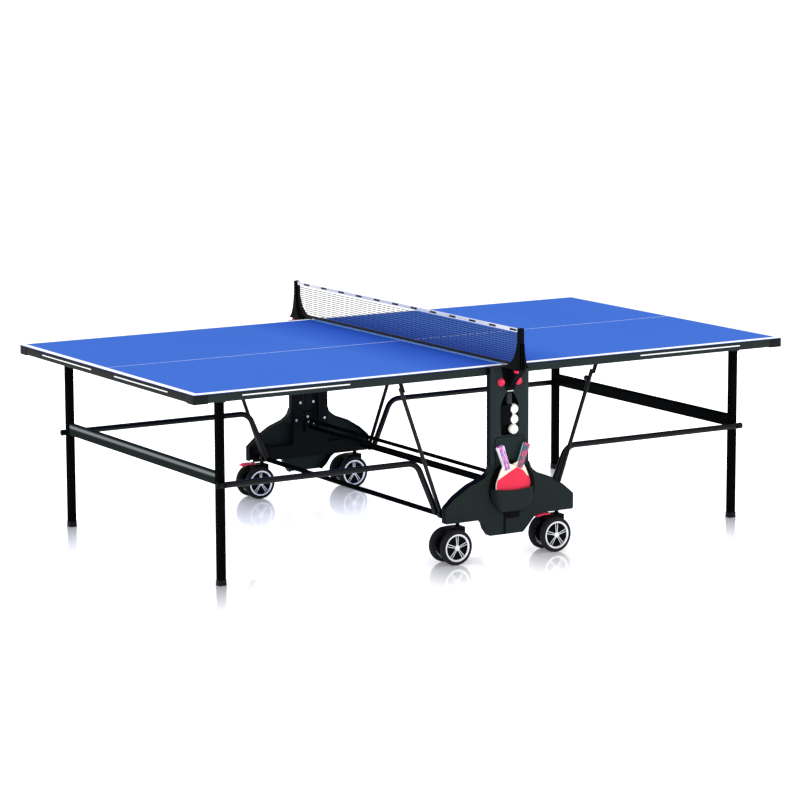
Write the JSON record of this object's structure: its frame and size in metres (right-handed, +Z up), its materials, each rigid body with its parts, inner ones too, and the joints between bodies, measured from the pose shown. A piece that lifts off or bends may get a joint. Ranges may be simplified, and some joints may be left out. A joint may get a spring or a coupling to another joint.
{
  "type": "table tennis table",
  "caption": "Folding full-size table tennis table: blue halves that fold up on a wheeled centre carriage, with net, ball stores and bat pockets.",
  "frame": {"origin": "on the floor under the middle of the net", "axes": "+X along the table's length, +Y across it away from the side with the bats, +Z up"},
  "size_m": [2.74, 1.768, 0.917],
  "materials": {
    "playing_surface": "matte resin laminate",
    "frame_paint": "satin powder coat",
    "tube_paint": "semi-gloss powder coat",
    "steel_paint": "satin powder coat",
    "bare_steel": "zinc plated",
    "wheel_rubber": "matte",
    "red_plastic": "gloss",
    "bat_rubber": "satin rubber sheet",
    "ball_plastic": "matte",
    "net_cord": "open knotted mesh",
    "net_tape": "woven tape",
    "foot_rubber": "matte",
    "cover_plastic": "fine grain moulded plastic"
  },
  "bodies": {
    "carriage": {"balls": "ball_plastic", "bat_pockets": "cover_plastic", "caster_plates": "steel_paint", "cross_tubes": "tube_paint", "far_column_cover": "cover_plastic", "far_net_post": "cover_plastic", "far_shroud": "cover_plastic", "far_side_frame": "steel_paint", "near_column_cover": "cover_plastic", "near_net_post": "cover_plastic", "near_shroud": "cover_plastic", "near_side_frame": "steel_paint", "net_bands": "net_tape", "net_mesh": "net_cord"},
    "guide_left": {"guide_pins_left": "bare_steel"},
    "half_left": {"playing_sheet_left": "playing_surface", "side_rails_left": "frame_paint", "outer_rail_left": "frame_paint", "centre_rail_left": "frame_paint", "corner_guards_left": "cover_plastic", "under_ribs_left": "frame_paint", "hinge_brackets_left": "steel_paint"},
    "leg_frame_left": {"legs_left": "tube_paint", "leg_feet_left": "foot_rubber", "leg_brace_left": "tube_paint"},
    "link_frame_left": {"link_tubes_left": "tube_paint", "link_caps_left": "cover_plastic", "foot_axle_left": "tube_paint"},
    "strut_pair_left": {"struts_left": "tube_paint"},
    "guide_right": {"guide_pins_right": "bare_steel"},
    "half_right": {"playing_sheet_right": "playing_surface", "side_rails_right": "frame_paint", "outer_rail_right": "frame_paint", "centre_rail_right": "frame_paint", "corner_guards_right": "cover_plastic", "under_ribs_right": "frame_paint", "hinge_brackets_right": "steel_paint"},
    "leg_frame_right": {"legs_right": "tube_paint", "leg_feet_right": "foot_rubber", "leg_brace_right": "tube_paint"},
    "link_frame_right": {"link_tubes_right": "tube_paint", "link_caps_right": "cover_plastic", "foot_axle_right": "tube_paint"},
    "strut_pair_right": {"struts_right": "tube_paint"},
    "front_bat": {"front_bat": "bat_rubber"},
    "back_bat": {"back_bat": "bat_rubber"},
    "near_caster_left": {"near_caster_left": "cover_plastic"},
    "near_wheels_left": {"near_wheels_left": "wheel_rubber"},
    "near_button_left": {"near_button_left": "red_plastic"},
    "near_caster_right": {"near_caster_right": "cover_plastic"},
    "near_wheels_right": {"near_wheels_right": "wheel_rubber"},
    "near_button_right": {"near_button_right": "red_plastic"},
    "far_caster_left": {"far_caster_left": "cover_plastic"},
    "far_wheels_left": {"far_wheels_left": "wheel_rubber"},
    "far_button_left": {"far_button_left": "red_plastic"},
    "far_caster_right": {"far_caster_right": "cover_plastic"},
    "far_wheels_right": {"far_wheels_right": "wheel_rubber"},
    "far_button_right": {"far_button_right": "red_plastic"},
    "near_pedal_right": {"near_pedal_right": "red_plastic"},
    "far_pedal_left": {"far_pedal_left": "red_plastic"}
  },
  "joints": [
    {"name": "guide_drop_left", "type": "slide", "parent": "carriage", "child": "guide_left", "axis": [0, 0, -1], "range_m": [0, 0.46831]},
    {"name": "fold_left", "type": "hinge", "parent": "guide_left", "child": "half_left", "pos_m": [-0.032, 0, 0.745], "axis": [0, 1, 0], "range_deg": [0, 90]},
    {"name": "leg_swing_left", "type": "hinge", "parent": "half_left", "child": "leg_frame_left", "pos_m": [-1.205, 0, 0.716], "axis": [0, 1, 0], "range_deg": [-90.1, 0]},
    {"name": "link_swing_left", "type": "hinge", "parent": "carriage", "child": "link_frame_left", "pos_m": [-0.264, 0, 0.182], "axis": [0, 1, 0], "range_deg": [0, 89.8]},
    {"name": "strut_swing_left", "type": "hinge", "parent": "carriage", "child": "strut_pair_left", "pos_m": [-0.264, 0, 0.182], "axis": [0, 1, 0], "range_deg": [0, 39.05]},
    {"name": "guide_drop_right", "type": "slide", "parent": "carriage", "child": "guide_right", "axis": [0, 0, -1], "range_m": [0, 0.46831]},
    {"name": "fold_right", "type": "hinge", "parent": "guide_right", "child": "half_right", "pos_m": [0.032, 0, 0.745], "axis": [0, -1, 0], "range_deg": [0, 90]},
    {"name": "leg_swing_right", "type": "hinge", "parent": "half_right", "child": "leg_frame_right", "pos_m": [1.205, 0, 0.716], "axis": [0, -1, 0], "range_deg": [-90.1, 0]},
    {"name": "link_swing_right", "type": "hinge", "parent": "carriage", "child": "link_frame_right", "pos_m": [0.264, 0, 0.182], "axis": [0, -1, 0], "range_deg": [0, 89.8]},
    {"name": "strut_swing_right", "type": "hinge", "parent": "carriage", "child": "strut_pair_right", "pos_m": [0.264, 0, 0.182], "axis": [0, -1, 0], "range_deg": [0, 39.05]},
    {"name": "near_swivel_left", "type": "hinge", "parent": "carriage", "child": "near_caster_left", "pos_m": [-0.233, -0.786, 0.07], "axis": [0, 0, 1], "continuous": true},
    {"name": "near_roll_left", "type": "hinge", "parent": "near_caster_left", "child": "near_wheels_left", "pos_m": [-0.266, -0.786, 0.07], "axis": [0, 1, 0], "continuous": true},
    {"name": "near_press_left", "type": "slide", "parent": "carriage", "child": "near_button_left", "axis": [0, 1, 0], "range_m": [0, 0.005], "stiffness_N_per_m": 300},
    {"name": "near_swivel_right", "type": "hinge", "parent": "carriage", "child": "near_caster_right", "pos_m": [0.233, -0.786, 0.07], "axis": [0, 0, 1], "continuous": true},
    {"name": "near_roll_right", "type": "hinge", "parent": "near_caster_right", "child": "near_wheels_right", "pos_m": [0.2, -0.786, 0.07], "axis": [0, 1, 0], "continuous": true},
    {"name": "near_press_right", "type": "slide", "parent": "carriage", "child": "near_button_right", "axis": [0, 1, 0], "range_m": [0, 0.005], "stiffness_N_per_m": 300},
    {"name": "far_swivel_left", "type": "hinge", "parent": "carriage", "child": "far_caster_left", "pos_m": [-0.233, 0.786, 0.07], "axis": [0, 0, 1], "continuous": true},
    {"name": "far_roll_left", "type": "hinge", "parent": "far_caster_left", "child": "far_wheels_left", "pos_m": [-0.266, 0.786, 0.07], "axis": [0, 1, 0], "continuous": true},
    {"name": "far_press_left", "type": "slide", "parent": "carriage", "child": "far_button_left", "axis": [0, -1, 0], "range_m": [0, 0.005], "stiffness_N_per_m": 300},
    {"name": "far_swivel_right", "type": "hinge", "parent": "carriage", "child": "far_caster_right", "pos_m": [0.233, 0.786, 0.07], "axis": [0, 0, 1], "continuous": true},
    {"name": "far_roll_right", "type": "hinge", "parent": "far_caster_right", "child": "far_wheels_right", "pos_m": [0.2, 0.786, 0.07], "axis": [0, 1, 0], "continuous": true},
    {"name": "far_press_right", "type": "slide", "parent": "carriage", "child": "far_button_right", "axis": [0, -1, 0], "range_m": [0, 0.005], "stiffness_N_per_m": 300},
    {"name": "near_brake_right", "type": "hinge", "parent": "near_caster_right", "child": "near_pedal_right", "pos_m": [0.191, -0.786, 0.151], "axis": [0, -1, 0], "range_deg": [0, 14]},
    {"name": "far_brake_left", "type": "hinge", "parent": "far_caster_left", "child": "far_pedal_left", "pos_m": [-0.275, 0.786, 0.151], "axis": [0, -1, 0], "range_deg": [0, 14]},
    {"name": "front_bat_lift", "type": "slide", "parent": "carriage", "child": "front_bat", "axis": [0, 0, 1], "range_m": [0, 0.075]},
    {"name": "back_bat_lift", "type": "slide", "parent": "carriage", "child": "back_bat", "axis": [0, 0, 1], "range_m": [0, 0.075]}
  ],
  "couplings": [
    {"joint": "guide_drop_left", "follows": "fold_left", "m_per_rad": 0.29788},
    {"joint": "leg_swing_left", "follows": "fold_left", "ratio": -1},
    {"joint": "link_swing_left", "follows": "fold_left", "ratio": 0.99662},
    {"joint": "strut_swing_left", "follows": "fold_left", "ratio": 0.43275},
    {"joint": "guide_drop_right", "follows": "fold_right", "m_per_rad": 0.29788},
    {"joint": "leg_swing_right", "follows": "fold_right", "ratio": -1},
    {"joint": "link_swing_right", "follows": "fold_right", "ratio": 0.99662},
    {"joint": "strut_swing_right", "follows": "fold_right", "ratio": 0.43275}
  ]
}
